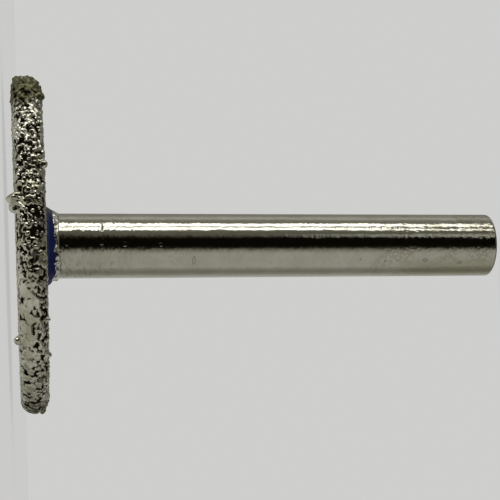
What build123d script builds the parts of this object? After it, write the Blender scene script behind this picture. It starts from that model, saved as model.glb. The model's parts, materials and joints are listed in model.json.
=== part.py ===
from build123d import *
import os
from math import cos, pi, radians, sin
from random import Random

# Electroplated diamond grinding bit: a disc with a full-round rim on a 6 mm shank.
#
# The origin is where the shank's axis meets the plated front face of the disc.
# +Z runs along the shank towards its free end, so the bit stands on its disc.
# The bore of the disc is a little out of square, so the disc leans and its -X side is low.
# Lengths are in millimetres and angles in degrees.

# Shank: a turned and nickel-plated steel pin. Its spigot goes through the disc, and the
# shoulder above the spigot is bevelled, to hold the braze.
SHANK_DIAMETER = 6.0
SHANK_TOP = 45.5            # height of the free end above the disc's front face
SHANK_EDGE_RADIUS = 0.25    # broken edge round the free end
SPIGOT_DIAMETER = 4.5

# Blank: the turned steel disc under the plating.
BLANK_DIAMETER = 30.0
BLANK_THICKNESS = 1.85
DISC_LEAN = 1.5             # how far the disc is out of square with the shank

# Plating: nickel, filled with diamond grit, all over the blank. The front is trued flat, and on
# the rim and the back the grains stand up out of the nickel.
PLATING_THICKNESS = 0.35    # from the blank to the tips of the grains
GRAIN_PITCH = 0.65          # mean distance between the tips
GRAIN_RELIEF = 0.27         # depth of the deepest hollows below the tips
NODULE_HEIGHT = 0.3         # how far a nodule stands above the tips
NODULE_SHARE = 0.012        # how many of the grains are nodules
FRONT_LAND = 0.4            # how far the trued front ends inside the rim's rounding
NECK_LAND = 0.6             # width of the bare nickel ring round the lacquer

# Braze: a film in the bore, and a hollow fillet round the bevel behind the disc.
BRAZE_FILM = 0.05           # radial gap between spigot and bore, which the braze fills
BRAZE_HEIGHT = 1.7          # how far the fillet climbs the shank from the blank
BRAZE_SPREAD = 1.1          # how far the fillet reaches out over the blank
BRAZE_HOLLOW = 0.15         # depth of the fillet's hollow, below a straight bevel

# Lacquer: the ring that kept the nickel off the fillet.
LACQUER_THICKNESS = 0.08
LACQUER_HEIGHT = 1.2        # how far the lacquer climbs the fillet from the blank

shank_radius = SHANK_DIAMETER / 2
spigot_radius = SPIGOT_DIAMETER / 2
blank_front = PLATING_THICKNESS
blank_back = blank_front + BLANK_THICKNESS

# The disc's own frame: its plated front face is the plane z = 0.
disc_place = Rotation(0, -DISC_LEAN, 0)

# The neck: the height at which the shank's axis leaves the back of the blank.
neck_height = blank_back / cos(radians(DISC_LEAN))


def turned(outline):
    """The solid of revolution of a closed outline, drawn as radius and height."""
    return revolve(make_face(Plane.XZ * outline), Axis.Z)


def round_rimmed_disc(diameter, thickness, front):
    """A disc with a half-round rim, its front face at the given height in the disc's frame."""
    edge = diameter / 2
    flat = edge - thickness / 2
    back = front + thickness
    rim = ThreePointArc((flat, front), (edge, front + thickness / 2), (flat, back))
    faces = Polyline((flat, back), (0, back), (0, front), (flat, front))
    return disc_place * turned(faces + rim)


def behind_plane(piece, height):
    """What lies behind a plane of the disc's frame, on the shank's side of it."""
    return split(piece, bisect_by=Plane(disc_place * Pos(0, 0, height)), keep=Keep.TOP)


def neck_cone(skin=0):
    """The body under the hollow fillet, grown outwards by a skin, with its foot on the blank."""
    foot = (shank_radius + BRAZE_SPREAD + skin, neck_height)
    top = (shank_radius + skin, neck_height + BRAZE_HEIGHT)
    hollow = SagittaArc(foot, top, BRAZE_HOLLOW)
    core = Polyline(top, (0, top[1]), (0, 0), (foot[0], 0), foot)
    return behind_plane(turned(hollow + core), blank_back)


def make_shank():
    """A pin with a broken edge, a bevel down to its spigot, and a foot flush with the blank."""
    bevel_top = neck_height + BRAZE_HEIGHT
    side = Polyline((0, 0), (spigot_radius, 0), (spigot_radius, neck_height), (shank_radius, bevel_top),
                    (shank_radius, SHANK_TOP), (0, SHANK_TOP), (0, 0))
    pin = turned(side)
    pin = fillet(pin.edges().group_by(Axis.Z)[-1], SHANK_EDGE_RADIUS)
    return behind_plane(pin, blank_front)


def make_bore():
    """The spigot's hole through the disc, a braze film wider than the spigot."""
    bore = Cylinder(spigot_radius + BRAZE_FILM, neck_height + BRAZE_HEIGHT / 2,
                    align=(Align.CENTER, Align.CENTER, Align.MIN))
    return behind_plane(bore, blank_front)


def make_blank():
    """A disc with a half-round rim and a plain bore."""
    return round_rimmed_disc(BLANK_DIAMETER, BLANK_THICKNESS, blank_front) - make_bore()


def make_braze():
    """The film that fills the bore round the spigot, and the fillet behind it."""
    return neck_cone() + make_bore() - make_shank()


def make_lacquer():
    """A skin over the foot of the fillet, up to a line that follows the disc."""
    skin = neck_cone(LACQUER_THICKNESS) - neck_cone()
    return skin - behind_plane(skin, blank_back + LACQUER_HEIGHT)


def ring_of_points(radius, height, slope, count, relief, shaker):
    """Points round a ring of the plating's skin: shaken along it, and grains or hollows where
    it has relief, with a nodule here and there behind the rim's outermost line. The slope is the
    skin's outward direction there, in radians above the disc's plane."""
    points = []
    for place in range(count):
        around = (place + shaker.uniform(-0.25, 0.25)) * 2 * pi / count
        depth = relief * shaker.betavariate(0.5, 0.5)
        if relief and slope > 0 and shaker.random() < NODULE_SHARE:
            depth = -NODULE_HEIGHT
        out = radius - depth * cos(slope)
        points.append(Vector(out * cos(around), out * sin(around), height - depth * sin(slope)))
    return points


def stitched(ring, next_ring):
    """Triangles between two rings, each one a step along the ring that lags behind."""
    triangles = []
    here, there = 0, 0
    while here < len(ring) or there < len(next_ring):
        corners = [ring[here % len(ring)], next_ring[there % len(next_ring)]]
        if (here + 1) / len(ring) <= (there + 1) / len(next_ring):
            here += 1
            corners.append(ring[here % len(ring)])
        else:
            there += 1
            corners.append(next_ring[there % len(next_ring)])
        triangles.append(Face(Wire.make_polygon(corners, close=True)))
    return triangles


def gritty_disc():
    """The plating's outside: a flat front, then rings of grains round the rim and over the back,
    and a flat land round the neck."""
    half = BLANK_THICKNESS / 2 + PLATING_THICKNESS
    flat = (BLANK_DIAMETER - BLANK_THICKNESS) / 2
    neck_edge = shank_radius + BRAZE_SPREAD + LACQUER_THICKNESS + NECK_LAND
    rim_rows = round(pi * half / GRAIN_PITCH)
    back_rows = round((flat - neck_edge) / GRAIN_PITCH)
    shaker = Random(4)
    path = [(flat - FRONT_LAND, 0, -pi / 2, 0)]
    for row in range(rim_rows):
        slope = -pi / 2 + pi * (row + 0.5) / rim_rows
        path.append((flat + half * cos(slope), half + half * sin(slope), slope, GRAIN_RELIEF))
    for row in range(back_rows):
        path.append((flat - (flat - neck_edge) * row / back_rows, 2 * half, pi / 2, GRAIN_RELIEF))
    path.append((neck_edge, 2 * half, pi / 2, 0))
    rings = [ring_of_points(radius, height, slope, round(2 * pi * radius / GRAIN_PITCH), relief, shaker)
             for radius, height, slope, relief in path]
    faces = [Face(Wire.make_polygon(ring, close=True)) for ring in (rings[0], rings[-1])]
    for ring, next_ring in zip(rings, rings[1:]):
        faces += stitched(ring, next_ring)
    return disc_place * Solid(Shell(faces))


def make_plating():
    """A gritty coat over the whole blank and the shank's foot, up to the lacquer."""
    inside = round_rimmed_disc(BLANK_DIAMETER, BLANK_THICKNESS, blank_front)
    return gritty_disc() - inside - neck_cone(LACQUER_THICKNESS)


pieces = {
    "shank": make_shank(),
    "disc_blank": make_blank(),
    "braze_fillet": make_braze(),
    "stop_off_lacquer": make_lacquer(),
    "diamond_plating": make_plating(),
}

os.makedirs("parts", exist_ok=True)
for name, piece in pieces.items():
    export_step(piece, f"parts/{name}.step")
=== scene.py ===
import json
from math import atan2, cos, pi, radians, sin

import bpy
import numpy as np
from mathutils import Matrix, Vector


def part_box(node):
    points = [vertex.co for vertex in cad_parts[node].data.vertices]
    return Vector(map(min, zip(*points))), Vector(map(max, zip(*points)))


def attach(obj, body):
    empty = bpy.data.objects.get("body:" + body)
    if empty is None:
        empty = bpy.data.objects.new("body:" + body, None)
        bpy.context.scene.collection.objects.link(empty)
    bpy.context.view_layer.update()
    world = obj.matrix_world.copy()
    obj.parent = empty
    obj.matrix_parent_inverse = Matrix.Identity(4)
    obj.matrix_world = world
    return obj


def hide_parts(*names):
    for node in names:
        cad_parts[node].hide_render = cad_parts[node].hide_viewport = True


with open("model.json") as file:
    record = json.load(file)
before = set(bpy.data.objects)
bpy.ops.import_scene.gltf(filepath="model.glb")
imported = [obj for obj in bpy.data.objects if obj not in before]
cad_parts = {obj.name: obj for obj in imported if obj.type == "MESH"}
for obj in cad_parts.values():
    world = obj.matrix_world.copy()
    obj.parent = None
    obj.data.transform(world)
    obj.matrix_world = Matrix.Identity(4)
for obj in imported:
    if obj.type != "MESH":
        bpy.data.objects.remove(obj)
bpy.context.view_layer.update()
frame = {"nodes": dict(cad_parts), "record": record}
MM = 0.001


# The shank: a 6 mm steel pin, turned, polished and nickel plated. Its spigot goes through the
# disc, the shoulder above it is bevelled to hold the braze, and its free end has a broken edge.

mounts = {mount["name"]: mount for mount in frame["record"]["mounts"]}
shank_radius = mounts["shank"]["dims"]["r_mm"] * MM
shank_half = mounts["shank"]["dims"]["length_mm"] * MM / 2
shank_low = mounts["shank"]["pos_m"][2] - shank_half
shank_foot, shank_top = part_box("shank")[0].z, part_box("shank")[1].z
SPIGOT_RADIUS = 2.25 * MM
BEVEL_HEIGHT = 1.7 * MM
BRAZE_SHORT = 0.12 * MM  # how far the shoulder, and on average the braze's lip, lie below shank_low
SHANK_EDGE = 0.25 * MM
SHANK_SIDES = 288
SHANK_POLE = 0.2 * MM  # radius of the fans that close the two ends
SHANK_COLOUR = (0.48, 0.47, 0.4, 1)
SHANK_TARNISH = (0.4, 0.385, 0.3, 1)
SHANK_MARK = (0.35, 0.335, 0.25, 1)
# Near black: scars, partly painted shade, and painted shadow lines under the braze's lip.
SHANK_SCAR_AND_SHADE = (0.05, 0.048, 0.04, 1)
SHANK_STAIN = (0.35, 0.34, 0.25, 1)
SHANK_ROUGHNESS = (0.06, 0.14)  # from bright to wholly tarnished
# Noises: stretch along each axis, scale, which is about waves to the millimetre, and detail.
EVEN = (1, 1, 1)
CLOUDS = (EVEN, 0.45, 3)
SPECKS = (EVEN, 2.6, 2)
MARK_LINES = (EVEN, 1.7, 2)
MARK_PATCHES = (EVEN, 0.35, 1)
WAVES = ((1, 1, 0.6), 0.9, 2)
RIPPLES = ((1, 1, 3), 1.3, 1)
MOTTLE = ((1.5, 1.5, 1.1), 2.2, 1)
# Noise values between which patches set in, and for the lines how far those are from the middle.
CLOUD_STEP, SPECK_STEP = (0.35, 0.7), (0.5, 0.75)
MARK_LINE_STEP, MARK_PATCH_STEP = (0.1, 0.02), (0.45, 0.6)
WAVE_DEPTH = 0.02 * MM
RIPPLE_DEPTH = 0.018 * MM
NECK_RIPPLE_DEPTH = 0.02 * MM
MOTTLE_DEPTH = 0.014 * MM
MARK_HEIGHT = 0.003 * MM
SCAR_DEPTH = 0.02 * MM
SCAR_WIDTH = 0.09  # from the middle of a ring mark's line to its edge, in millimetres
NECK_REACH = (15 * MM, 7 * MM)  # heights between which the neck's ripples set in
END_REACH = (30 * MM, 37 * MM)  # heights between which the free end's mottle and marks set in
STAIN_REACH = (35 * MM, 38.5 * MM)
STAIN_SIDE = (0.8 * MM, 2.2 * MM)
MARKS_ELSEWHERE = 0.25  # strength of the dried marks away from the free end
END_FACE = 0.98  # where the rows of the flat end start, as a share of the way out to its edge
# Scars in the plating: place in millimetres, radius, how much it is squeezed along each axis, and
# how deep it is, up to 1. Their near-black is partly painted shade, as in the notch across the
# highlight, and the last two are painted shadow lines under the braze's lip, on the shoulder.
SHANK_SCARS_AND_SHADOWS = [
    ((-1.72, -2.46, 7.7), 0.03, (0.13, 0.13, 0.8), 1), ((-0.11, -3.0, 9.7), 0.22, (1, 1, 1), 0.7),
    ((-0.06, -3.0, 12.98), 0.17, (1, 1, 1), 0.7), ((-0.02, -3.0, 7.6), 0.07, (1, 1, 0.6), 0.7),
    ((0.03, -3.0, 4.46), 0.06, (1, 1, 1), 0.7), ((1.36, -2.67, 16.05), 0.4, (1, 1, 3.5), 0.7),
    ((1.32, -2.7, 31.9), 0.04, (1, 1, 1), 0.6), ((1.5, -2.6, 34.3), 0.05, (1, 1, 1), 0.6),
    ((1.41, -2.65, 38.3), 0.14, (1, 1, 0.8), 0.6), ((1.64, -2.51, 41.8), 0.13, (1, 1, 0.7), 0.5),
    ((2.0, -2.24, 3.88), 0.0, (0.11, 0.11, 1), 0.9), ((0.5, -2.96, 3.88), 0.0, (0.5, 0.5, 1), 1),
]


def arc(centre, radius, start, end, count):
    """Points (radius, height) at even angles round a centre, from start to end in degrees."""
    angle = np.radians(np.linspace(start, end, count))
    return np.stack([centre[0] + radius * np.cos(angle), centre[1] + radius * np.sin(angle)], -1)


def straight(start, end, count):
    """Evenly spaced points (radius, height) from start to end, with the end left out."""
    share = np.linspace(0, 1, count, endpoint=False)[:, None]
    return np.array(start) * (1 - share) + np.array(end) * share


def carried(radius, height, turn):
    """Points at these radii and heights, and at these angles round the Z axis."""
    return np.stack([radius * np.cos(turn), radius * np.sin(turn), height + 0 * turn], -1)


def turned(outline, around):
    """Points of a turned body: each outline point (radius, height) carried round the Z axis."""
    turn = np.linspace(0, 2 * pi, around, endpoint=False)
    return carried(outline[:, None, 0], outline[:, None, 1], turn)


def grid_object(name, points, closed_rows):
    """A mesh over a grid of rows of points. Each row closes on itself, and with closed_rows the
    last row joins the first. Otherwise both end rows shrink to a pole and are capped by fans."""
    rows, around = points.shape[:2]
    number = np.arange(rows * around).reshape(rows, around)
    if closed_rows:
        number = np.vstack([number, number[:1]])
    beside = np.roll(number, -1, axis=1)
    quads = np.stack([number[:-1], beside[:-1], beside[1:], number[1:]], -1).reshape(-1, 4)
    corners, sizes = quads.ravel(), np.full(len(quads), 4)
    places = points.reshape(-1, 3)
    if not closed_rows:
        poles = np.stack([points[0].mean(0), points[-1].mean(0)])
        places = np.vstack([places, poles])
        first, last = rows * around, rows * around + 1
        under = np.stack([beside[0], number[0], np.full(around, first)], -1)
        over = np.stack([number[-1], beside[-1], np.full(around, last)], -1)
        corners = np.concatenate([corners, under.ravel(), over.ravel()])
        sizes = np.concatenate([sizes, np.full(2 * around, 3)])
    mesh = bpy.data.meshes.new(name)
    mesh.vertices.add(len(places))
    mesh.vertices.foreach_set("co", places.astype(np.float32).ravel())
    mesh.loops.add(len(corners))
    mesh.loops.foreach_set("vertex_index", corners.astype(np.int32))
    mesh.polygons.add(len(sizes))
    mesh.polygons.foreach_set("loop_start", (np.cumsum(sizes) - sizes).astype(np.int32))
    mesh.update(calc_edges=True)
    mesh.validate()
    mesh.shade_smooth()
    made = bpy.data.objects.new(name, mesh)
    bpy.context.scene.collection.objects.link(made)
    return made


def new_material(name, colour, metallic, roughness):
    """A Principled material with its plain values on the shader's own sockets."""
    material = bpy.data.materials.new(name)
    material.use_nodes = True
    shader = material.node_tree.nodes["Principled BSDF"]
    shader.inputs["Base Color"].default_value = colour
    shader.inputs["Metallic"].default_value = metallic
    shader.inputs["Roughness"].default_value = roughness
    return material, material.node_tree, shader


def group_sockets(group, inputs, outputs):
    """The input and output nodes of a new node group with these (name, type, value) sockets."""
    for name, kind, value in inputs:
        group.interface.new_socket(name, in_out="INPUT", socket_type=kind).default_value = value
    for name, kind in outputs:
        group.interface.new_socket(name, in_out="OUTPUT", socket_type=kind)
    return group.nodes.new("NodeGroupInput"), group.nodes.new("NodeGroupOutput")


def plain_colour(group, colour):
    """A colour as a socket, to blend with."""
    node = group.nodes.new("ShaderNodeRGB")
    node.outputs[0].default_value = colour
    return node.outputs[0]


def blend_of(group, low, high, amount):
    """A colour mix node from low to high by amount, each of them a socket."""
    mix = group.nodes.new("ShaderNodeMix")
    mix.data_type = "RGBA"
    group.links.new(amount, mix.inputs["Factor"])
    group.links.new(low, mix.inputs["A"])
    group.links.new(high, mix.inputs["B"])
    return mix.outputs["Result"]


def math_of(group, operation, *values):
    """The result of a Math node on these values, each of them a socket or a number."""
    node = group.nodes.new("ShaderNodeMath")
    node.operation = operation
    for socket, value in zip(node.inputs, values):
        if isinstance(value, (int, float)):
            socket.default_value = value
        else:
            group.links.new(value, socket)
    return node.outputs[0]


def product(group, first, *others):
    """The product of a value socket and these sockets or numbers."""
    for other in others:
        first = math_of(group, "MULTIPLY", first, other)
    return first


def vector_math_of(group, operation, *vectors):
    """A Vector Math node on these vector sockets."""
    node = group.nodes.new("ShaderNodeVectorMath")
    node.operation = operation
    for socket, vector in zip(node.inputs, vectors):
        group.links.new(vector, socket)
    return node


def soft_step(group, value, low, high):
    """A smooth rise from 0 to 1 while value goes from low to high."""
    step = group.nodes.new("ShaderNodeMapRange")
    step.interpolation_type = "SMOOTHSTEP"
    step.inputs["From Min"].default_value = low
    step.inputs["From Max"].default_value = high
    group.links.new(value, step.inputs["Value"])
    return step.outputs["Result"]


def spread_of(group, share, low, high):
    """A value that goes evenly from low to high while share goes from 0 to 1."""
    spread = group.nodes.new("ShaderNodeMapRange")
    spread.inputs["To Min"].default_value = low
    spread.inputs["To Max"].default_value = high
    group.links.new(share, spread.inputs["Value"])
    return spread.outputs["Result"]


def object_coordinates(group, stretch):
    """Object coordinates in millimetres, each axis stretched by its own factor."""
    place = group.nodes.new("ShaderNodeTexCoord")
    mapping = group.nodes.new("ShaderNodeMapping")
    mapping.inputs["Scale"].default_value = [factor / MM for factor in stretch]
    group.links.new(place.outputs["Object"], mapping.inputs["Vector"])
    return mapping.outputs["Vector"]


def object_axes(group):
    """The X, Y and Z sockets of Object coordinates, in metres."""
    place = group.nodes.new("ShaderNodeTexCoord")
    axes = group.nodes.new("ShaderNodeSeparateXYZ")
    group.links.new(place.outputs["Object"], axes.inputs["Vector"])
    return axes.outputs["X"], axes.outputs["Y"], axes.outputs["Z"]


def noise_of(group, stretch, scale, detail):
    """A noise value between 0 and 1 over stretched object coordinates."""
    noise = group.nodes.new("ShaderNodeTexNoise")
    noise.inputs["Scale"].default_value = scale
    noise.inputs["Detail"].default_value = detail
    group.links.new(object_coordinates(group, stretch), noise.inputs["Vector"])
    return noise.outputs["Fac"]


def bumped(group, height, distance, normal=None):
    """A Bump node of this distance in metres, on an earlier normal where one is given."""
    bump = group.nodes.new("ShaderNodeBump")
    bump.inputs["Distance"].default_value = distance
    group.links.new(height, bump.inputs["Height"])
    if normal:
        group.links.new(normal, bump.inputs["Normal"])
    return bump.outputs["Normal"]


def make_tarnish_group():
    """Cloudy tone: two noises, one over millimetres and one over tenths, mix two colours."""
    group = bpy.data.node_groups.new("tarnish", "ShaderNodeTree")
    inputs = [("Bright", "NodeSocketColor", (1, 1, 1, 1)), ("Dull", "NodeSocketColor", (0, 0, 0, 1)),
              ("Amount", "NodeSocketFloat", 0.5)]
    outputs = [("Color", "NodeSocketColor"), ("Mask", "NodeSocketFloat")]
    enter, leave = group_sockets(group, inputs, outputs)
    clouds = soft_step(group, noise_of(group, *CLOUDS), *CLOUD_STEP)
    specks = soft_step(group, noise_of(group, *SPECKS), *SPECK_STEP)
    both = math_of(group, "ADD", clouds, specks)
    both.node.use_clamp = True
    mask = product(group, both, enter.outputs["Amount"])
    colour = blend_of(group, enter.outputs["Bright"], enter.outputs["Dull"], mask)
    group.links.new(colour, leave.inputs["Color"])
    group.links.new(mask, leave.inputs["Mask"])
    return group


tarnish = make_tarnish_group()


def tarnished(tree, bright, dull, amount):
    """Places the tarnish group before a material's Base Color and returns its node."""
    cloudy = tree.nodes.new("ShaderNodeGroup")
    cloudy.node_tree = tarnish
    cloudy.inputs["Bright"].default_value = bright
    cloudy.inputs["Dull"].default_value = dull
    cloudy.inputs["Amount"].default_value = amount
    tree.links.new(cloudy.outputs["Color"], tree.nodes["Principled BSDF"].inputs["Base Color"])
    return cloudy


def make_marks_group():
    """Thin wandering lines, as dried liquid leaves: where a noise crosses its middle value, kept
    only inside patches. Where says how much of them a place has, from 0 to 1."""
    group = bpy.data.node_groups.new("dried_marks", "ShaderNodeTree")
    inputs, outputs = [("Where", "NodeSocketFloat", 1.0)], [("Mask", "NodeSocketFloat")]
    enter, leave = group_sockets(group, inputs, outputs)
    off_middle = math_of(group, "SUBTRACT", noise_of(group, *MARK_LINES), 0.5)
    line = soft_step(group, math_of(group, "ABSOLUTE", off_middle), *MARK_LINE_STEP)
    patch = soft_step(group, noise_of(group, *MARK_PATCHES), *MARK_PATCH_STEP)
    group.links.new(product(group, line, patch, enter.outputs["Where"]), leave.inputs["Mask"])
    return group


def make_ring_mark_group():
    """A ring-shaped mark, deepest on its line, for scarring and for painted shadow lines. Its place
    and radius are in millimetres, and Squeeze is how much it is squeezed along each axis."""
    group = bpy.data.node_groups.new("ring_mark", "ShaderNodeTree")
    inputs = [("Place", "NodeSocketVector", (0, 0, 0)), ("Squeeze", "NodeSocketVector", (1, 1, 1)),
              ("Radius", "NodeSocketFloat", 0.1), ("Depth", "NodeSocketFloat", 1.0)]
    enter, leave = group_sockets(group, inputs, [("Mask", "NodeSocketFloat")])
    place = object_coordinates(group, EVEN)
    offset = vector_math_of(group, "SUBTRACT", place, enter.outputs["Place"])
    squeezed = vector_math_of(group, "MULTIPLY", offset.outputs["Vector"], enter.outputs["Squeeze"])
    distance = vector_math_of(group, "LENGTH", squeezed.outputs["Vector"])
    off_line = math_of(group, "SUBTRACT", distance.outputs["Value"], enter.outputs["Radius"])
    line = soft_step(group, math_of(group, "ABSOLUTE", off_line), SCAR_WIDTH, 0.0)
    group.links.new(product(group, line, enter.outputs["Depth"]), leave.inputs["Mask"])
    return group


def scars_and_shadows_of(tree):
    """How deep the shank's scarring and painted shadow lines are at each place: the deepest listed."""
    ring_mark_group = make_ring_mark_group()
    deepest = None
    for middle, radius, squeeze, depth in SHANK_SCARS_AND_SHADOWS:
        ring_mark = tree.nodes.new("ShaderNodeGroup")
        ring_mark.node_tree = ring_mark_group
        ring_mark.inputs["Place"].default_value = middle
        ring_mark.inputs["Radius"].default_value = radius
        ring_mark.inputs["Squeeze"].default_value = squeeze
        ring_mark.inputs["Depth"].default_value = depth
        mask = ring_mark.outputs["Mask"]
        deepest = math_of(tree, "MAXIMUM", deepest, mask) if deepest else mask
    return deepest


def make_shank_finish():
    """Polished nickel: shallow waves and turning ripples all along, more ripples by the braze,
    and mottle and dried marks towards the free end. Its colour is cloudy tarnish, with a stain
    along the +X side of the free end, darker in the dried marks, near black where the plating is
    scarred, partly as painted shade, and near black in painted shadow lines under the braze's lip."""
    material, tree, shader = new_material("polished_nickel", SHANK_COLOUR, 1.0, 0.09)
    cloudy = tarnished(tree, SHANK_COLOUR, SHANK_TARNISH, 0.5)
    across, _, height = object_axes(tree)
    by_neck = soft_step(tree, height, *NECK_REACH)
    by_end = soft_step(tree, height, *END_REACH)
    ripples = noise_of(tree, *RIPPLES)
    marks = tree.nodes.new("ShaderNodeGroup")
    marks.node_tree = make_marks_group()
    tree.links.new(spread_of(tree, by_end, MARKS_ELSEWHERE, 1.0), marks.inputs["Where"])
    scars_and_shadows = scars_and_shadows_of(tree)
    normal = bumped(tree, noise_of(tree, *WAVES), WAVE_DEPTH)
    normal = bumped(tree, product(tree, ripples, by_neck), NECK_RIPPLE_DEPTH, normal)
    normal = bumped(tree, ripples, RIPPLE_DEPTH, normal)
    normal = bumped(tree, product(tree, noise_of(tree, *MOTTLE), by_end), MOTTLE_DEPTH, normal)
    normal = bumped(tree, marks.outputs["Mask"], -MARK_HEIGHT, normal)
    normal = bumped(tree, scars_and_shadows, -SCAR_DEPTH, normal)
    tree.links.new(normal, shader.inputs["Normal"])
    on_side = soft_step(tree, across, *STAIN_SIDE)
    stained = product(tree, on_side, soft_step(tree, height, *STAIN_REACH))
    tone = blend_of(tree, cloudy.outputs["Color"], plain_colour(tree, SHANK_STAIN), stained)
    tone = blend_of(tree, tone, plain_colour(tree, SHANK_MARK), marks.outputs["Mask"])
    # Painted shade: near black in the notch and scars, and painted shadow lines under the braze's lip.
    tone = blend_of(tree, tone, plain_colour(tree, SHANK_SCAR_AND_SHADE), scars_and_shadows)
    tree.links.new(tone, shader.inputs["Base Color"])
    dull = spread_of(tree, cloudy.outputs["Mask"], *SHANK_ROUGHNESS)
    tree.links.new(dull, shader.inputs["Roughness"])
    return material


neck_height = shank_low - BEVEL_HEIGHT
shoulder = shank_low - BRAZE_SHORT
above_shoulder = shoulder + 0.02 * MM  # a row close to the shoulder keeps its edge crisp
edge_centre = (shank_radius - SHANK_EDGE, shank_top - SHANK_EDGE)
shank_outline = np.vstack([
    straight((SHANK_POLE, shank_foot), (SPIGOT_RADIUS, shank_foot), 4),
    straight((SPIGOT_RADIUS, shank_foot), (SPIGOT_RADIUS, neck_height), 6),
    straight((SPIGOT_RADIUS, neck_height), (shank_radius, shoulder), 6),
    straight((shank_radius, shoulder), (shank_radius, above_shoulder), 1),
    straight((shank_radius, above_shoulder), (shank_radius, edge_centre[1]), 90),
    arc(edge_centre, SHANK_EDGE, 0, 90, 9),
    straight((edge_centre[0] * END_FACE, shank_top), (SHANK_POLE, shank_top), 12),
])
shank = grid_object("turned_shank", turned(shank_outline, SHANK_SIDES), closed_rows=False)
shank.data.materials.append(make_shank_finish())
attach(shank, "root")
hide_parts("shank")


# The blank: the turned steel disc under the plating. The spigot goes through it, and none of
# it shows, so it keeps its own solid and only gets its turned finish.

BLANK_COLOUR = (0.45, 0.45, 0.44, 1)
BLANK_DULL = (0.33, 0.32, 0.3, 1)
blank_finish, blank_tree, _ = new_material("turned_steel", BLANK_COLOUR, 1.0, 0.35)
tarnished(blank_tree, BLANK_COLOUR, BLANK_DULL, 0.6)
blank = frame["nodes"]["disc_blank"]
blank.data.materials.clear()
blank.data.materials.append(blank_finish)


# The braze: silver braze that has run round the bevel of the shank behind the disc, and left
# a bright, uneven ring with pits in it. It is turned round the shank as a hollow flare. Its
# hidden inner wall is a straight tube at the spigot's radius, and so overlaps the bevel.

BRAZE_SPREAD = 1.1 * MM
BRAZE_HOLLOW = 0.15 * MM
BRAZE_ROWS = 60
BRAZE_SIDES = 480
BRAZE_WALL = 0.1 * MM  # how far inside the shank's surface the ring's hidden top edge lies
BRAZE_LIP = 0.05 * MM  # how far the lip bulges out
LIP_PLACE = 0.86  # how far up the flare the lip is thickest
LIP_WIDTH = 0.14
# Random hills: height, wavelength and seed. The lip's wander and its slant, which makes it higher
# on the +X side, are shares of the flare's height.
LIP_WANDER = (0.05, 2.5 * MM, 14)
LIP_SLANT = 0.04
BRAZE_LUMPS = (0.035 * MM, 1.1 * MM, 11)
BRAZE_BEADS = (0.02 * MM, 0.4 * MM, 12)
LUMPS_END, LUMPS_FADE = 1.02, 8  # where on the flare they would end, and how steeply they fade
BRAZE_PIT_DEPTH = 0.12 * MM
BRAZE_PIT_OUT = 0.2 * MM  # how far outside the shank's surface the pits' middles lie
BRAZE_PIT_REACH = 1.3  # from a pit's middle to its edge, as a multiple of its size
PIT_SHADE_DEPTHS = (0.1, 0.6)  # depths in a pit between which painted shade turns it black
BRAZE_COLOUR = (0.58, 0.57, 0.52, 1)
BRAZE_DULL = (0.36, 0.35, 0.3, 1)
# Painted shade, near black, in the braze's pits.
BRAZE_PIT_SHADE = (0.01, 0.01, 0.008, 1)
BRAZE_GRAIN = (EVEN, 4.5, 2)
BRAZE_GRAIN_DEPTH = 0.015 * MM
# Pits in the lip: degrees round from -Y, height and size.
BRAZE_PITS = [
    (-54, 3.7 * MM, 0.16 * MM), (-49, 3.55 * MM, 0.12 * MM), (-35, 3.74 * MM, 0.1 * MM),
    (-14, 3.5 * MM, 0.17 * MM), (9, 3.72 * MM, 0.17 * MM), (13, 3.6 * MM, 0.19 * MM),
    (31, 3.72 * MM, 0.13 * MM), (36, 3.75 * MM, 0.13 * MM), (45, 3.72 * MM, 0.16 * MM),
    (41, 3.66 * MM, 0.15 * MM), (62, 3.56 * MM, 0.16 * MM), (130, 3.7 * MM, 0.17 * MM),
    (200, 3.6 * MM, 0.16 * MM),
]
disc_lean = atan2(mounts["disc_front"]["axis"][0], -mounts["disc_front"]["axis"][2])


def rolling(points, height, wavelength, seed, count=24):
    """Smooth random hills of about this height, up and down: plane waves of one length, in all
    directions and with random phases, added up at each point."""
    random = np.random.default_rng(seed)
    ways = random.normal(size=(count, 3))
    ways *= 2 * pi / wavelength / np.linalg.norm(ways, axis=1, keepdims=True)
    phases = random.uniform(0, 2 * pi, count)
    return height * (np.sin(points @ ways.T + phases).sum(-1) * (2 / count) ** 0.5)


def leaned(points):
    """Turns points from the disc's own square frame to where the disc leans on the shank."""
    x, y, z = points[..., 0], points[..., 1], points[..., 2]
    across = x * cos(disc_lean) - z * sin(disc_lean)
    return np.stack([across, y, x * sin(disc_lean) + z * cos(disc_lean)], -1)


def way_round(angle):
    """The direction square to the shank at this many degrees from -Y, positive towards +X."""
    return np.array([sin(radians(angle)), -cos(radians(angle)), 0])


def hollow_flare(share):
    """Radius and height of the hollow bevel at each share of the way up it: the straight line
    from its foot to the top of the bevel, pulled in by up to the hollow's depth."""
    inward = np.array([-BEVEL_HEIGHT, -BRAZE_SPREAD]) / np.hypot(BEVEL_HEIGHT, BRAZE_SPREAD)
    hollow = BRAZE_HOLLOW * 4 * share * (1 - share)
    radius = shank_radius + BRAZE_SPREAD * (1 - share) + inward[0] * hollow
    return radius, neck_height + BEVEL_HEIGHT * share + inward[1] * hollow


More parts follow.
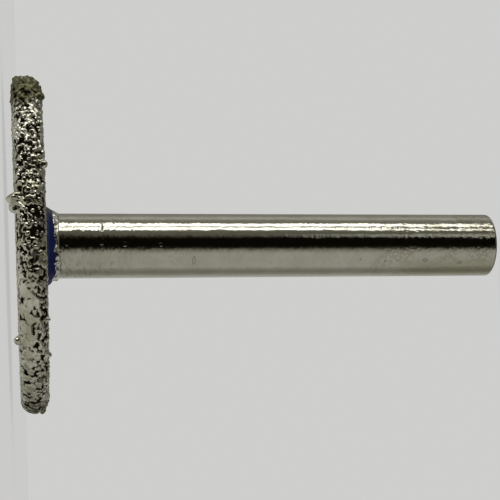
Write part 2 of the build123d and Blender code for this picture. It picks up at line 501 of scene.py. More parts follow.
def braze_ring():
    """Points of the ring and how deep each lies in a pit, from 0 to 1. The flare swells into
    lumps and ends in a low lip on the shank, at a height that wanders."""
    share = np.linspace(0, 1, BRAZE_ROWS)[:, None]
    turn = np.linspace(0, 2 * pi, BRAZE_SIDES, endpoint=False)
    ring = np.stack([np.cos(turn), np.sin(turn), 0 * turn], -1)
    wander = rolling(ring * shank_radius, *LIP_WANDER) + LIP_SLANT * ring[:, 0]
    climb = (1 + wander) * (1 - BRAZE_SHORT / BEVEL_HEIGHT)
    radius, height = hollow_flare(share)
    radius = radius + 0 * turn
    height = height + BEVEL_HEIGHT * share * (climb - 1)
    place = carried(radius, height, turn)
    lumps = rolling(place, *BRAZE_LUMPS) + rolling(place, *BRAZE_BEADS)
    lip = BRAZE_LIP * np.clip(1 - ((share - LIP_PLACE) / LIP_WIDTH) ** 2, 0, 1) ** 0.5
    radius = radius + lip + lumps * np.clip((LUMPS_END - share) * LUMPS_FADE, 0, 1)
    depth = 0 * radius
    for angle, up, size in BRAZE_PITS:
        middle = way_round(angle) * (shank_radius + BRAZE_PIT_OUT) + np.array([0, 0, up])
        distance = np.linalg.norm(place - middle, axis=-1) / size
        depth = np.maximum(depth, np.clip(BRAZE_PIT_REACH - distance, 0, 1))
    radius = radius - BRAZE_PIT_DEPTH * depth
    inner = np.array([[shank_radius - BRAZE_WALL], [SPIGOT_RADIUS], [SPIGOT_RADIUS]]) + 0 * turn
    inner_height = np.array([[shank_low], [shank_low], [neck_height]]) + 0 * turn
    radii, heights = np.vstack([radius, inner]), np.vstack([height, inner_height])
    return carried(radii, heights, turn), depth


def give_attribute(made, name, values):
    """Stores these values on the first points of a mesh, and 0 on the rest, under this name."""
    whole = np.zeros(len(made.data.vertices), np.float32)
    whole[:values.size] = values.ravel()
    made.data.attributes.new(name, "FLOAT", "POINT").data.foreach_set("value", whole)


def attribute_of(tree, name, output="Fac"):
    """The mesh's own attribute of this name, as a socket."""
    node = tree.nodes.new("ShaderNodeAttribute")
    node.attribute_name = name
    return node.outputs[output]


braze_points, braze_depth = braze_ring()
braze = grid_object("braze_ring", braze_points, closed_rows=True)
give_attribute(braze, "pit", braze_depth)


def make_braze_finish():
    """Bright lumpy metal with dull patches, with painted shade, near black, in its pits."""
    material, tree, shader = new_material("braze_metal", BRAZE_COLOUR, 1.0, 0.2)
    cloudy = tarnished(tree, BRAZE_COLOUR, BRAZE_DULL, 0.8)
    depth = soft_step(tree, attribute_of(tree, "pit"), *PIT_SHADE_DEPTHS)
    tone = blend_of(tree, cloudy.outputs["Color"], plain_colour(tree, BRAZE_PIT_SHADE), depth)
    tree.links.new(tone, shader.inputs["Base Color"])
    grain = noise_of(tree, *BRAZE_GRAIN)
    tree.links.new(bumped(tree, grain, BRAZE_GRAIN_DEPTH), shader.inputs["Normal"])
    return material


braze.data.materials.append(make_braze_finish())
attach(braze, "root")
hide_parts("braze_fillet")


# The lacquer: navy blue masking lacquer, brushed round the foot of the flare before plating, so
# that no nickel grew there. It is a thin skin with an uneven upper edge.

LACQUER_SKIN = 0.07 * MM
LACQUER_LIFT = 0.03 * MM  # from the smooth flare to where the skin starts, over the braze's lumps
LACQUER_ROOT = 0.05 * MM  # how far the skin's inner side lies inside the flare
LACQUER_HEIGHT = 1.27 * MM
# How its upper edge wanders, how much higher it is on the +X side, and how far it dips at the
# very end of that side, all as shares of its height. Then how its thickness varies.
EDGE_WANDER = (0.04, 3 * MM, 21)
EDGE_RIPPLE = (0.03, 0.8 * MM, 22)
EDGE_SLANT = 0.07
EDGE_DIP = 0.4
BRUSHING = (0.25, 0.7 * MM, 23)
LACQUER_ROWS = 24
LACQUER_SIDES = 360
LACQUER_COLOUR = (0.001, 0.005, 0.056, 1)
LACQUER_THIN = (0.006, 0.013, 0.068, 1)
# A greyer tone, in patches on the -X side and in the corner at its foot.
LACQUER_GREY = (0.04, 0.043, 0.05, 1)
GREY_SIDE = (-1.9 * MM, -3.3 * MM)  # X between which the greyer patches on the low side set in
GREY_FOOT = (3.05 * MM, 2.65 * MM)  # heights between which the greyer corner sets in
FOOT_SHARE = 0.8
GREY_PATCHES, GREY_STEP = (EVEN, 1.5, 2), (0.3, 0.6)
STROKES = ((1, 1, 4), 1.5, 2)
STROKE_DEPTH = 0.02 * MM


def lacquer_shell():
    """A skin outside the flare: rows climb its outer side and come back down its inner side.
    The climb stops at a height that wanders round the shank, where the skin thins to nothing."""
    turn = np.linspace(0, 2 * pi, LACQUER_SIDES, endpoint=False)
    ring = np.stack([np.cos(turn), np.sin(turn), 0 * turn], -1) * shank_radius
    side = ring[:, 0] / shank_radius
    edge = 1 + rolling(ring, *EDGE_WANDER) + rolling(ring, *EDGE_RIPPLE)
    edge *= 1 + EDGE_SLANT * side - EDGE_DIP * np.clip(4 * side - 3, 0, 1)
    edge *= LACQUER_HEIGHT / BEVEL_HEIGHT
    share = np.linspace(0, 1, LACQUER_ROWS)[:, None]
    radius, height = hollow_flare(share * edge)
    place = carried(radius, height, turn)
    full = np.sqrt(np.clip(1 - share ** 6, 0, 1))
    brushed = 1 + rolling(place, *BRUSHING)
    outer = radius + LACQUER_LIFT + LACQUER_SKIN * full * brushed
    inner = radius - LACQUER_ROOT
    radii, heights = np.vstack([outer, inner[::-1]]), np.vstack([height, height[::-1]])
    return carried(radii, heights, turn)


lacquer_points = lacquer_shell()
lacquer_points[..., 2] += lacquer_points[..., 0] * sin(disc_lean)
lacquer = grid_object("lacquer_ring", lacquer_points, closed_rows=True)


def make_lacquer_finish():
    """Deep navy lacquer with little shine, thinner and paler in patches, and greyer in patches on the
    -X side and in the corner at its foot."""
    material, tree, shader = new_material("navy_lacquer", LACQUER_COLOUR, 0.0, 0.45)
    shader.inputs["Specular IOR Level"].default_value = 0.08
    shader.inputs["Coat Weight"].default_value = 0.03
    shader.inputs["Coat Roughness"].default_value = 0.2
    cloudy = tarnished(tree, LACQUER_COLOUR, LACQUER_THIN, 0.7)
    across, _, height = object_axes(tree)
    patches = soft_step(tree, noise_of(tree, *GREY_PATCHES), *GREY_STEP)
    low_side = product(tree, soft_step(tree, across, *GREY_SIDE), patches)
    foot = product(tree, soft_step(tree, height, *GREY_FOOT), FOOT_SHARE)
    greyer = plain_colour(tree, LACQUER_GREY)
    tone = blend_of(tree, cloudy.outputs["Color"], greyer, low_side)
    tree.links.new(blend_of(tree, tone, greyer, foot), shader.inputs["Base Color"])
    strokes = noise_of(tree, *STROKES)
    tree.links.new(bumped(tree, strokes, STROKE_DEPTH), shader.inputs["Normal"])
    return material


lacquer.data.materials.append(make_lacquer_finish())
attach(lacquer, "root")
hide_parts("stop_off_lacquer")


# The plating: electroplated nickel that holds diamond grit, all over the disc. Each grain is a
# faceted crystal part sunk in the nickel, and the nickel has grown up round it and over it.
# The coat is made as three closed pieces, the rim and the two faces, over one field of grains.

BLANK_RADIUS = 15.0 * MM
BLANK_HALF = 0.925 * MM
PLATING = 0.35 * MM
NICKEL_LEVEL = 0.19 * MM  # height of the bare nickel between the grains
NICKEL_HILLS = (0.1, 1.3 * MM, 7)  # the first as a share of that height
NICKEL_PIMPLES = (0.01 * MM, 0.3 * MM, 8)
MENISCUS = 0.012 * MM  # how softly the nickel runs up a grain
GRIT_SMOOTHING = 0.35  # how much of each height is the mean of its neighbours
flat_radius = BLANK_RADIUS - BLANK_HALF
disc_middle = PLATING + BLANK_HALF

# Grains. Each pair is the least and the greatest value.
GRAIN_PITCH = 0.345 * MM  # distance between them before they are shaken
GRAIN_SHAKE = 0.42  # how far they are shaken along each axis, in pitches
GRAIN_SIZE = (0.12 * MM, 0.23 * MM)  # half width
GRAIN_RISE = (0.17 * MM, 0.33 * MM)  # height of the centre above the blank
RISE_HILLS = (0.05 * MM, 2.4 * MM, 6)
GRAIN_TOP = (0.27 * MM, 0.35 * MM)  # height of the dressed top
CORNER_REACH = (0.95, 1.3)  # from the centre to the cut corners, in half widths
FACET_REACH = (0.8, 1.15)  # a factor on the reach of each single facet
GRAIN_TILT = 0.1  # slope of the dressed tops
RAW_TILT = 0.36  # the same on the raw side
RAW_TOP, RAW_SPREAD = 0.1 * MM, (-0.5, 1)  # how uneven the tops are there, and which way
NODULE_TOP = 2 * MM  # far above the nodules, which aren't dressed

# How the grit changes across the disc. Each pair is the X where a change sets in and the X where
# it is full: raw grit on the -X side, coarse at the -X end, fine at the +X end. The share is how
# much it makes the grains larger or smaller. There is a sparse band near the middle, and away
# from the raw side the grains are smaller, more so behind the rim's outermost line.
RAW_SIDE, RAW_SHARE = (0.84 * MM, -6.16 * MM), 0.14
COARSE_END, COARSE_SHARE = (-12 * MM, -14 * MM), 0.65
FINE_END, FINE_SHARE = (8 * MM, 12 * MM), 0.06
SPARSE_PLACE, SPARSE_WIDTH, SPARSE_SHARE = -2 * MM, 1.4 * MM, 0.14
DRESSED_SHARE, BEHIND_SHARE = 0.05, 0.22
COARSE_LOSS = 0.5  # share of the grains that are missing where the grit is coarsest

# Grains set one by one: degrees round the disc from -Y, positive towards +X, degrees round the
# rim's section from its outermost line, -90 at the front and 90 at the back, and the size.
# Nodules stand proud of the coat, and broad grains lie level with it.
NODULES = [
    (-14.7, -76, 0.54 * MM), (-12.4, -80, 0.42 * MM), (-16, -60, 0.3 * MM), (32.5, -76, 0.37 * MM),
    (-27, 66, 0.32 * MM), (-59.5, 56, 0.36 * MM), (38, 62, 0.22 * MM), (24.3, 66, 0.19 * MM),
    (-89, -38, 0.4 * MM), (-92, -22, 0.38 * MM), (-94, -8, 0.3 * MM), (91, 32, 0.29 * MM),
    (104, 60, 0.3 * MM), (150, 50, 0.32 * MM), (205, -60, 0.31 * MM), (250, 80, 0.3 * MM),
]
BROAD_GRAINS = [
    (14, -28, 0.42 * MM), (17, -8, 0.4 * MM), (20, -34, 0.45 * MM), (22.5, -12, 0.42 * MM),
    (26, -32, 0.45 * MM), (29, -14, 0.38 * MM), (31.5, -36, 0.42 * MM), (36, -30, 0.42 * MM),
    (41, -34, 0.4 * MM), (52, -20, 0.42 * MM), (-14, -6, 0.4 * MM), (8, 20, 0.36 * MM),
]


def on_blank(points):
    """The nearest point of the blank's surface to each point, and the outward normal there.
    The blank is every point within BLANK_HALF of a flat disc of flat_radius."""
    radius = np.hypot(points[..., 0], points[..., 1])
    level = points[..., 2] - disc_middle
    kept, whole = np.minimum(radius, flat_radius), np.maximum(radius, 1e-9)
    x, y = points[..., 0] * kept / whole, points[..., 1] * kept / whole
    core = np.stack([x, y, np.full(radius.shape, disc_middle)], -1)
    upright = np.stack([0 * level, 0 * level, level], -1)
    away = np.where((radius <= flat_radius)[..., None], upright, points - core)
    normal = away / np.maximum(np.linalg.norm(away, axis=-1, keepdims=True), 1e-9)
    return core + normal * BLANK_HALF, normal


def on_rim(places):
    """The blank's points and normals at these places, given as in the lists of grains."""
    turn, tip = np.radians(places[:, 0] - 90), np.radians(places[:, 1])
    beside = np.stack([np.cos(turn), np.sin(turn), 0 * turn], -1)
    normal = beside * np.cos(tip)[:, None] + np.array([0, 0, 1]) * np.sin(tip)[:, None]
    return beside * flat_radius + np.array([0, 0, disc_middle]) + normal * BLANK_HALF, normal


def sow_feet(random):
    """Where grains stand on the blank, and the outward normals there: the feet of the points of a
    shaken cubic lattice that lie within half a pitch of the nickel's surface."""
    reach = BLANK_RADIUS + GRAIN_PITCH * 2
    across = np.arange(-reach, reach, GRAIN_PITCH)
    upward = np.arange(-GRAIN_PITCH, 2 * disc_middle + GRAIN_PITCH, GRAIN_PITCH)
    lattice = np.stack(np.meshgrid(across, across, upward, indexing="ij"), -1).reshape(-1, 3)
    lattice += random.uniform(-GRAIN_SHAKE, GRAIN_SHAKE, lattice.shape) * GRAIN_PITCH
    foot, normal = on_blank(lattice)
    height = ((lattice - foot) * normal).sum(-1)
    near = np.abs(height - NICKEL_LEVEL) < GRAIN_PITCH / 2
    return foot[near], normal[near]


def ramp(value, start, full):
    """0 up to start, 1 from full on, and a straight rise between them."""
    return np.clip((value - start) / (full - start), 0, 1)


def random_turns(random, count):
    """Rotation matrices of random unit quaternions."""
    spin = random.normal(size=(count, 4))
    spin /= np.linalg.norm(spin, axis=1, keepdims=True)
    w, x, y, z = spin.T
    return np.stack([1 - 2 * (y * y + z * z), 2 * (x * y - w * z), 2 * (x * z + w * y),
                     2 * (x * y + w * z), 1 - 2 * (x * x + z * z), 2 * (y * z - w * x),
                     2 * (x * z - w * y), 2 * (y * z + w * x), 1 - 2 * (x * x + y * y)], -1).reshape(-1, 3, 3)


def sow_grains():
    """The grains' centres, facets, reaches, tops and tilts. A grain is a cube with cut corners,
    turned at random and raised by a random amount. Its top is dressed nearly level with the
    coat, at its own height and tilt, and is more uneven on the raw side."""
    random = np.random.default_rng(5)
    foot, normal = sow_feet(random)
    raw = ramp(foot[:, 0], *RAW_SIDE)
    coarse = ramp(foot[:, 0], *COARSE_END)
    fine = ramp(foot[:, 0], *FINE_END)
    sparse = np.exp(-((foot[:, 0] - SPARSE_PLACE) / SPARSE_WIDTH) ** 2) * (foot[:, 1] < 0)
    behind = ramp(foot[:, 2], disc_middle, disc_middle + BLANK_HALF)
    size = random.uniform(*GRAIN_SIZE, len(foot))
    rise = random.uniform(*GRAIN_RISE, len(foot)) + rolling(foot, *RISE_HILLS)
    smaller = RAW_SHARE * raw + FINE_SHARE * fine + SPARSE_SHARE * sparse
    smaller += (DRESSED_SHARE + BEHIND_SHARE * behind) * (1 - raw)
    size *= 1 + COARSE_SHARE * coarse - smaller
    size *= np.random.default_rng(9).random(len(foot)) > COARSE_LOSS * coarse
    top = random.uniform(*GRAIN_TOP, len(foot))
    top += random.uniform(*RAW_SPREAD, len(foot)) * RAW_TOP * (raw + coarse)
    broad, nodules = np.array(BROAD_GRAINS), np.array(NODULES)
    broad_foot, broad_normal = on_rim(broad)
    nodule_foot, nodule_normal = on_rim(nodules)
    foot = np.vstack([foot, broad_foot, nodule_foot])
    normal = np.vstack([normal, broad_normal, nodule_normal])
    size = np.concatenate([size, broad[:, 2], nodules[:, 2]])
    rise = np.concatenate([rise, np.full(len(broad), PLATING / 2), np.full(len(nodules), PLATING)])
    top = np.concatenate([top, np.full(len(broad), GRAIN_TOP[1]), np.full(len(nodules), NODULE_TOP)])
    raw = np.concatenate([raw, np.zeros(len(broad) + len(nodules))])[:, None]
    axes = random_turns(random, len(foot))
    corner = np.array([[1, 1, 1], [1, 1, -1], [1, -1, 1], [-1, 1, 1]]) / 3 ** 0.5
    facets = np.concatenate([axes, corner @ axes], 1)
    cut = size * random.uniform(*CORNER_REACH, len(foot))
    reach = np.concatenate([np.repeat(size[:, None], 3, 1), np.repeat(cut[:, None], 4, 1)], 1)
    reach *= random.uniform(*FACET_REACH, reach.shape)
    tilt = random.uniform(-1, 1, foot.shape) * (GRAIN_TILT + (RAW_TILT - GRAIN_TILT) * raw)
    return foot + normal * rise[:, None], facets, reach, top, tilt


CELL = 0.6 * MM  # larger than the reach of nearly all grains


def cell_of(points):
    """The cell of a cubic grid that each point lies in, as three whole numbers above 0."""
    return np.floor(points / CELL).astype(np.int64) + 100


def cell_number(cells):
    """The three whole numbers of each cell as one."""
    return (cells * (1, 1000, 1000000)).sum(-1)


centres, facets, reaches, tops, tilts = sow_grains()
cell_numbers = cell_number(cell_of(centres))
order = np.argsort(cell_numbers, kind="stable")
centres, facets, reaches = centres[order], facets[order], reaches[order]
tops, tilts, cell_numbers = tops[order], tilts[order], cell_numbers[order]


def grit_height(foot, normal):
    """Height of the coat over each point of the blank: the highest point where the outward line
    from there leaves a grain. A grain is seven slabs that cross at its centre, and the line is
    inside it from its last entry into a slab to its first exit from one, or to its top."""
    best = np.zeros(len(foot))
    probe = foot + normal * PLATING
    own = cell_of(probe)
    for step in np.ndindex(3, 3, 3):
        number = cell_number(own + np.array(step) - 1)
        first = np.searchsorted(cell_numbers, number, "left")
        count = np.searchsorted(cell_numbers, number, "right") - first
        for slot in range(count.max()):
            point = np.flatnonzero(count > slot)
            grain = first[point] + slot
            offset = probe[point] - centres[grain]
            along = np.einsum("nkj,nj->nk", facets[grain], normal[point])
            across = np.einsum("nkj,nj->nk", facets[grain], offset)
            across *= np.where(along < 0, -1, 1)
            along = np.maximum(np.abs(along), 1e-6)
            leave = ((reaches[grain] - across) / along).min(1)
            enter = ((-reaches[grain] - across) / along).max(1)
            dressed = tops[grain] + (tilts[grain] * offset).sum(-1)
            top = np.where(leave > enter, np.minimum(leave + PLATING, dressed), 0)
            np.maximum.at(best, point, top)
    level = NICKEL_LEVEL * (1 + rolling(foot, *NICKEL_HILLS)) + rolling(foot, *NICKEL_PIMPLES)
    return MENISCUS * np.logaddexp(best / MENISCUS, level / MENISCUS)


def smoothed(height, amount):
    """Each height mixed with the mean of its four neighbours on the grid, by amount."""
    padded = np.pad(height, ((1, 1), (0, 0)), "edge")
    beside = np.roll(height, 1, 1) + np.roll(height, -1, 1) + padded[:-2] + padded[2:]
    return height * (1 - amount) + beside / 4 * amount


def coat_piece(name, outer, inner, around, closed_rows, fade=None):
    """A closed piece of the coat. Its outer and inner outlines are drawn on the blank's surface.
    The outer one is raised by the grit, while the inner one stays on the blank."""
    base = turned(np.vstack([outer, inner]), around)
    foot, normal = on_blank(base[:len(outer)])
    height = grit_height(foot.reshape(-1, 3), normal.reshape(-1, 3)).reshape(foot.shape[:2])
    height = smoothed(height, GRIT_SMOOTHING)
    if fade is not None:
        height = height * fade(foot)
    base[:len(outer)] = foot + normal * height[..., None]
    made = grid_object(name, leaned(base), closed_rows)
    give_attribute(made, "grit", (height - NICKEL_LEVEL) / (PLATING - NICKEL_LEVEL))
    return made


RIM_INNER_RADIUS = 13.8 * MM  # where the rim's coat meets the coats of the two faces
NECK_RADIUS = 4.0 * MM
NECK_WANDER = (0.05 * MM, 1.1 * MM, 9)
NECK_FADE = 0.3 * MM
NECK_LEAST = 0.2  # share of the coat's height that is left at the neck
FRONT_STEP = 0.1 * MM  # past the seam with the rim, because straight leaves the last row out
FRONT_POLE, FRONT_INNER_POLE = 0.05 * MM, 0.5 * MM  # radii of the fans that close its two sides
RIM_SIDES = 1200
FACE_SIDES = 640
ROW_STEP = 0.06 * MM  # from the rim's arc to its next row, and from the seam to the back's first
front_level = disc_middle - BLANK_HALF
back_level = disc_middle + BLANK_HALF

rim_outer = np.vstack([
    straight((RIM_INNER_RADIUS, front_level), (flat_radius, front_level), 6),
    arc((flat_radius, disc_middle), BLANK_HALF, -90, 90, 61),
    straight((flat_radius - ROW_STEP, back_level), (RIM_INNER_RADIUS, back_level), 6),
])
rim_inner = np.vstack([
    straight((RIM_INNER_RADIUS, back_level), (flat_radius, back_level), 2),
    arc((flat_radius, disc_middle), BLANK_HALF, 90, -90, 7),
])
rim = coat_piece("rim_coat", rim_outer, rim_inner, RIM_SIDES, True)


def fade_at_neck(foot):
    """1 over most of the back, and down to its least in an uneven line where the lacquer
    stopped the plating, as the root of the distance from that line."""
    radius = np.hypot(foot[..., 0], foot[..., 1])
    share = (radius - NECK_RADIUS - rolling(foot, *NECK_WANDER)) / NECK_FADE
    return NECK_LEAST + (1 - NECK_LEAST) * np.clip(share, 0, 1) ** 0.5


back_outer = straight((RIM_INNER_RADIUS + ROW_STEP, back_level), (NECK_RADIUS, back_level), 84)
back_inner = np.array([(NECK_RADIUS, back_level), (RIM_INNER_RADIUS, back_level)])
back = coat_piece("back_coat", back_outer, back_inner, FACE_SIDES, True, fade_at_neck)

front_radius = RIM_INNER_RADIUS + FRONT_STEP
front_outer = straight((FRONT_POLE, front_level), (front_radius, front_level), 124)
front_inner = np.array([(RIM_INNER_RADIUS, front_level), (FRONT_INNER_POLE, front_level)])
front = coat_piece("front_coat", front_outer, front_inner, FACE_SIDES, False)

NICKEL_COLOUR = (0.6, 0.585, 0.49, 1)
NICKEL_DULL = (0.34, 0.33, 0.22, 1)
# Painted shade: darker and olive at both ends of the disc, where its rim is seen edge-on.
SHADED_END_COLOUR = (0.14, 0.135, 0.068, 1)
# Painted shade: near black, and not metallic, in the hollows between the grains.
HOLLOW_SHADE_COLOUR = (0.006, 0.004, 0.0025, 1)
HOLLOW_SHADE_RISE = (0.07, 0.5)  # shares of the grit's height where the hollows' painted shade gives way to nickel
SHADED_END_HOLLOW_RISE = (0.2, 0.9)
METAL_STEP = (0.0, 0.5)  # shares of that change between which the surface turns metallic
SHADED_LOW_END = (-10.2 * MM, -11.3 * MM)  # X between which the painted shade of the -X end sets in
SHADE_EDGE_RAGGED, SHADE_EDGE_WANDER = (EVEN, 0.5, 2), 3 * MM  # the noise in its edge, and how wide
SHADED_HIGH_END, SHADED_HIGH_SHARE = (12.6 * MM, 14.4 * MM), 0.9
NICKEL_ROUGHNESS = (0.1, 0.4)  # over most of the disc, and at the shaded -X end
NICKEL_GRAIN = (EVEN, 9, 2)
NICKEL_GRAIN_DEPTH = 0.01 * MM


def make_grit_finish():
    """Nickel over grit: bright facets and dull cloudy patches, painted shade, near-black and not
    metallic, in the hollows between the grains, and a darker, greener painted shade at both ends
    of the disc, where its rim is seen edge-on, rougher and in a ragged line at the -X end."""
    material, tree, shader = new_material("nickel_grit", NICKEL_COLOUR, 1.0, 0.1)
    shader.inputs["Specular IOR Level"].default_value = 0.0
    cloudy = tarnished(tree, NICKEL_COLOUR, NICKEL_DULL, 0.7)
    across, _, _ = object_axes(tree)
    grit = attribute_of(tree, "grit")
    ragged = math_of(tree, "MULTIPLY_ADD", noise_of(tree, *SHADE_EDGE_RAGGED), SHADE_EDGE_WANDER, across)
    low_end = soft_step(tree, ragged, *SHADED_LOW_END)
    high_end = product(tree, soft_step(tree, across, *SHADED_HIGH_END), SHADED_HIGH_SHARE)
    ends = math_of(tree, "ADD", low_end, high_end)
    shaded_ends = blend_of(tree, cloudy.outputs["Color"], plain_colour(tree, SHADED_END_COLOUR), ends)
    metal = tree.nodes.new("ShaderNodeMix")
    tree.links.new(ends, metal.inputs["Factor"])
    tree.links.new(soft_step(tree, grit, *HOLLOW_SHADE_RISE), metal.inputs["A"])
    tree.links.new(soft_step(tree, grit, *SHADED_END_HOLLOW_RISE), metal.inputs["B"])
    # Painted shade: near black in the hollows between the grains, darker and greener at both ends.
    tone = blend_of(tree, plain_colour(tree, HOLLOW_SHADE_COLOUR), shaded_ends, metal.outputs["Result"])
    tree.links.new(tone, shader.inputs["Base Color"])
    tree.links.new(soft_step(tree, metal.outputs["Result"], *METAL_STEP), shader.inputs["Metallic"])
    tree.links.new(spread_of(tree, low_end, *NICKEL_ROUGHNESS), shader.inputs["Roughness"])
    grain = noise_of(tree, *NICKEL_GRAIN)
    tree.links.new(bumped(tree, grain, NICKEL_GRAIN_DEPTH), shader.inputs["Normal"])
    return material


grit_finish = make_grit_finish()
for coat in (rim, back, front):
    coat.data.materials.append(grit_finish)
    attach(coat, "root")
    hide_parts("diamond_plating")


# The stage: a pale floor under the disc, square to it, and pale surroundings. Upright lamp strips
# stand at the -X side, and a round screen of greys, black behind the camera, gives the bit
# something to reflect. The screen and the ceiling card above it show only in reflections.

FLOOR_COLOUR = (0.8, 0.8, 0.79, 1)
FLOOR_GLOW = 0.75  # how much of what the camera sees of it is plain light
FLOOR_DROP = 0.8 * MM  # clear of the nodule on the disc's front edge
FLOOR_RADIUS = 4.0
FLOOR_THICKNESS = 0.01
STAGE_SIDES = 96
POLE = 0.001  # radius of the fans in the middle of the floor and the ceiling card
WORLD_COLOUR = (0.62, 0.62, 0.61, 1)

floor_outline = np.array([
    (POLE, 0.0), (0.05, 0.0), (0.4, 0.0), (FLOOR_RADIUS, 0.0), (FLOOR_RADIUS, -FLOOR_THICKNESS),
    (POLE, -FLOOR_THICKNESS),
])
floor_points = turned(floor_outline, STAGE_SIDES)
floor_points[..., 2] -= FLOOR_DROP
floor = grid_object("floor", leaned(floor_points)[:, ::-1], closed_rows=False)
floor_finish, floor_tree, floor_shader = new_material("floor_paper", FLOOR_COLOUR, 0.0, 0.9)
floor_rays = floor_tree.nodes.new("ShaderNodeLightPath")
floor_share = product(floor_tree, floor_rays.outputs["Is Camera Ray"], FLOOR_GLOW)
floor_glow = floor_tree.nodes.new("ShaderNodeEmission")
floor_glow.inputs["Color"].default_value = WORLD_COLOUR
floor_mix = floor_tree.nodes.new("ShaderNodeMixShader")
floor_tree.links.new(floor_share, floor_mix.inputs["Fac"])
floor_tree.links.new(floor_shader.outputs[0], floor_mix.inputs[1])
floor_tree.links.new(floor_glow.outputs[0], floor_mix.inputs[2])
floor_tree.links.new(floor_mix.outputs[0], floor_tree.nodes["Material Output"].inputs["Surface"])
floor.data.materials.append(floor_finish)
floor.visible_glossy = False
floor.visible_shadow = False

world = bpy.data.worlds.new("pale_room")
world.use_nodes = True
world.node_tree.nodes["Background"].inputs["Color"].default_value = WORLD_COLOUR
bpy.context.scene.world = world

SCREEN_RADIUS = 0.33
SCREEN_HEIGHTS = (-0.45, 0.45)
SCREEN_PANELS = 180
# The screen's greys: degrees round from the camera's side, positive towards the lamps at -X,
# and brightness next to the surroundings.
SCREEN_TONES = [
    (-180, 0.6), (-155, 0.8), (-140, 0.8), (-126, 0.58), (-114, 0.46), (-104, 0.44), (-93, 0.58),
    (-82, 0.8), (-30, 0.8), (-22, 0.68), (-15, 0.42), (-9, 0.12), (-6, 0.025), (0, 0.008),
    (26, 0.008), (33, 0.05), (41, 0.24), (56, 0.34), (98, 0.48), (104, 0.55), (116, 0.98),
    (131, 0.6), (150, 0.42), (180, 0.4),
]
# The screen is a little warmer where it is darker: its green and blue are its grey to a power.
SCREEN_GREEN_POWER = 1.03
SCREEN_BLUE_POWER = 1.13


def only_reflected(card):
    """Hides a card from the camera, from soft light and from shadows."""
    card.visible_camera = False
    card.visible_diffuse = False
    card.visible_shadow = False


screen_degrees = np.linspace(-180, 180, SCREEN_PANELS + 1)
screen_turn = np.radians(screen_degrees)
screen_side = np.stack([-np.sin(screen_turn), -np.cos(screen_turn), 0 * screen_turn], -1)
screen_rows = [screen_side * SCREEN_RADIUS + (0, 0, height) for height in SCREEN_HEIGHTS]
screen_mesh = bpy.data.meshes.new("screen")
above = SCREEN_PANELS + 1
screen_quads = [(i, i + 1, i + 1 + above, i + above) for i in range(SCREEN_PANELS)]
screen_mesh.from_pydata(np.vstack(screen_rows).tolist(), [], screen_quads)
grey = np.interp(screen_degrees, *np.array(SCREEN_TONES).T)
warm_grey = np.stack([grey, grey ** SCREEN_GREEN_POWER, grey ** SCREEN_BLUE_POWER, 1 + 0 * grey], -1)
screen_colour = screen_mesh.attributes.new("tone", "FLOAT_COLOR", "POINT")
screen_colour.data.foreach_set("color", np.tile(warm_grey.astype(np.float32), (2, 1)).ravel())
screen = bpy.data.objects.new("screen", screen_mesh)
bpy.context.scene.collection.objects.link(screen)
screen_finish, screen_tree, screen_shader = new_material("screen_card", (0.5, 0.5, 0.5, 1), 0.0, 1.0)
screen_shader.inputs["Specular IOR Level"].default_value = 0
screen_tone = attribute_of(screen_tree, "tone", "Color")
screen_tree.links.new(screen_tone, screen_shader.inputs["Base Color"])
screen_mesh.materials.append(screen_finish)
only_reflected(screen)

CEILING_COLOUR = (0.35, 0.34, 0.31, 1)
CEILING_RADIUS = 0.4
CEILING_LOW, CEILING_HIGH = 0.455, 0.46
ceiling_outline = np.array([
    (POLE, CEILING_LOW), (CEILING_RADIUS, CEILING_LOW), (CEILING_RADIUS, CEILING_HIGH), (POLE, CEILING_HIGH),
])
ceiling = grid_object("ceiling", turned(ceiling_outline, STAGE_SIDES), closed_rows=False)
ceiling_finish, _, _ = new_material("ceiling_card", CEILING_COLOUR, 0.0, 1.0)
ceiling.data.materials.append(ceiling_finish)
only_reflected(ceiling)

LAMP_RADIUS = 0.3
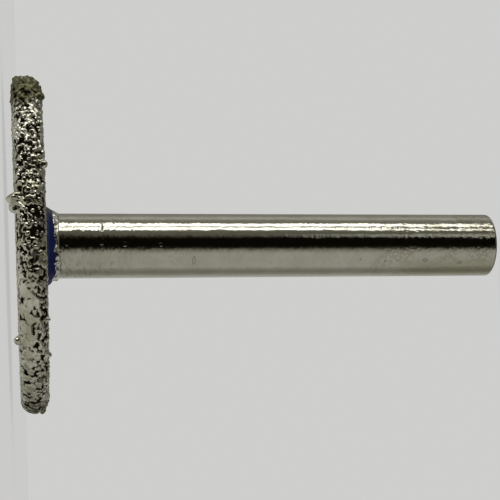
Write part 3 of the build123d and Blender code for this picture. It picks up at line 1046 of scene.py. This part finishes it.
# Lamp strips: name, the two angles and the two heights that each spans, and its brightness. The
# upper and the lower band make the shank's two bright lines, and the middle band the dimmer line
# between them. The glow band, nearer to the camera, lights the free end under those lines.
LAMP_STRIPS = [
    ("upper_strip", 74.5, 88.2, -0.2, 0.05, 2.9),
    ("upper_strip_middle", 74.5, 87.2, 0.05, 0.125, 2.9),
    ("upper_strip_end", 74.5, 85, 0.125, 0.23, 2.4),
    ("middle_strip", 69, 74.5, -0.03, 0.06, 0.6),
    ("middle_strip_end", 69, 74.5, 0.06, 0.125, 0.15),
    ("lower_strip", 57.9, 69, -0.2, 0.06, 2.9),
    ("lower_strip_middle", 59.2, 69, 0.06, 0.125, 2.9),
    ("lower_strip_end", 57, 63.4, 0.125, 0.23, 2.3),
    ("glow_strip", 31, 41, 0.06, 0.105, 0.05),
    ("glow_strip_middle", 30, 42, 0.105, 0.155, 0.3),
    ("glow_strip_end", 29.5, 43, 0.155, 0.23, 0.5),
]


def lamp_strip(name, start, end, low, high, brightness):
    """An upright area lamp that faces the object and spans these angles round from the camera's
    side and these heights. Its power is its brightness times pi times its area."""
    length, middle = high - low, radians((start + end) / 2)
    width = 2 * LAMP_RADIUS * sin(radians(end - start) / 2)
    data = bpy.data.lights.new(name, "AREA")
    data.shape = "RECTANGLE"
    data.size = width
    data.size_y = length
    data.energy = brightness * pi * width * length
    lamp = bpy.data.objects.new(name, data)
    lamp.location = (-sin(middle) * LAMP_RADIUS, -cos(middle) * LAMP_RADIUS, (low + high) / 2)
    lamp.rotation_euler = (pi / 2, 0, -middle)
    bpy.context.scene.collection.objects.link(lamp)


for strip in LAMP_STRIPS:
    lamp_strip(*strip)


# The camera: level with the disc, so that the disc is seen edge-on, and turned on its side, so
# that the shank runs to the right of the picture.

CAMERA_PLACE = Vector((0, -112.35, 0.48)) * MM
CAMERA_AIM = Vector((0.41, 0, 21.8)) * MM
CAMERA_LENS = 86.7
CAMERA_ROLL = radians(0.12)
CAMERA_NEAR = 0.005

camera_data = bpy.data.cameras.new("photo_camera")
camera_data.lens = CAMERA_LENS
camera_data.clip_start = CAMERA_NEAR
camera = bpy.data.objects.new("photo_camera", camera_data)
camera.location = CAMERA_PLACE
look = (CAMERA_AIM - CAMERA_PLACE).normalized()
level_right = look.cross(Vector((-1, 0, 0))).normalized()
level_up = level_right.cross(look)
right = level_right * cos(CAMERA_ROLL) - level_up * sin(CAMERA_ROLL)
up = level_up * cos(CAMERA_ROLL) + level_right * sin(CAMERA_ROLL)
camera.rotation_mode = "QUATERNION"
camera.rotation_quaternion = Matrix(np.stack([right, up, -look], -1).tolist()).to_quaternion()
bpy.context.scene.collection.objects.link(camera)
bpy.context.scene.camera = camera
bpy.context.scene.view_settings.view_transform = "Standard"
